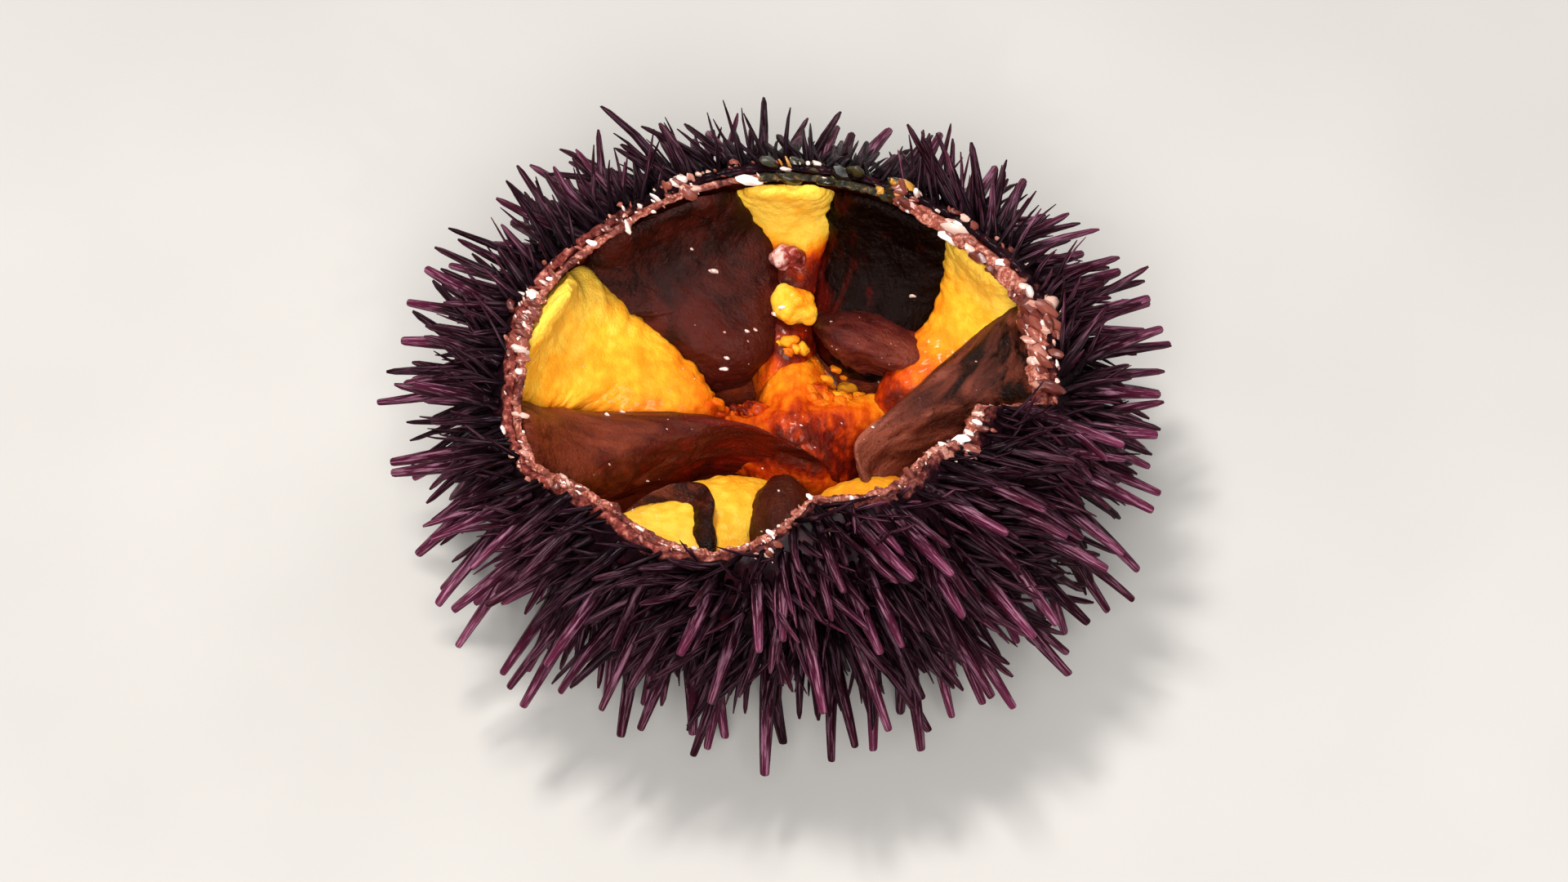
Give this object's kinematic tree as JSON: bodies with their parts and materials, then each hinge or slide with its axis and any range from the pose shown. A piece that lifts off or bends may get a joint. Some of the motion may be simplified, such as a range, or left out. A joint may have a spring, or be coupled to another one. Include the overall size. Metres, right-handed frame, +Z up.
{
  "type": "opened sea urchin",
  "caption": "Opened sea urchin lying on its purple spines, cut round its mouth, with tongues of yellow-orange roe and dark folds of gut inside the bowl of the shell.",
  "frame": {"origin": "under the middle of the test, on the surface that the urchin lies on", "axes": "+Z up out of the opening; +X right and +Y to the back, as seen by someone facing the low side of the rim's flap from the front"},
  "size_m": [0.0893, 0.0841, 0.0335],
  "materials": {
    "test": "thin chalky shell, dark and wet inside, its broken rim pale pink and grainy",
    "spines": "damp purple spines with a satin sheen, standing in a near-black skin",
    "roe": "soft, wet and finely granular, yellow-orange at the rim to deep orange on the floor",
    "gut": "thin, wet and glossy, dark red-brown to near black"
  },
  "bodies": {
    "root": {"test": "test", "spines_under": "spines", "spines_low_1": "spines", "spines_low_2": "spines", "spines_low_3": "spines", "spines_low_4": "spines", "spines_low_5": "spines", "spines_high_1": "spines", "spines_high_2": "spines", "spines_high_3": "spines", "spines_high_4": "spines", "spines_high_5": "spines", "spines_high_6": "spines", "spines_high_7": "spines", "spines_high_8": "spines", "spines_high_9": "spines", "spines_high_10": "spines", "roe_star": "roe", "roe_1": "roe", "roe_2": "roe", "roe_3": "roe", "roe_4": "roe", "roe_5": "roe", "gut_1": "gut", "gut_2": "gut", "gut_3": "gut", "gut_4": "gut", "gut_5": "gut", "gut_6": "gut", "gut_7": "gut", "roe_scrap": "roe", "gut_shred": "gut"}
  },
  "joints": []
}
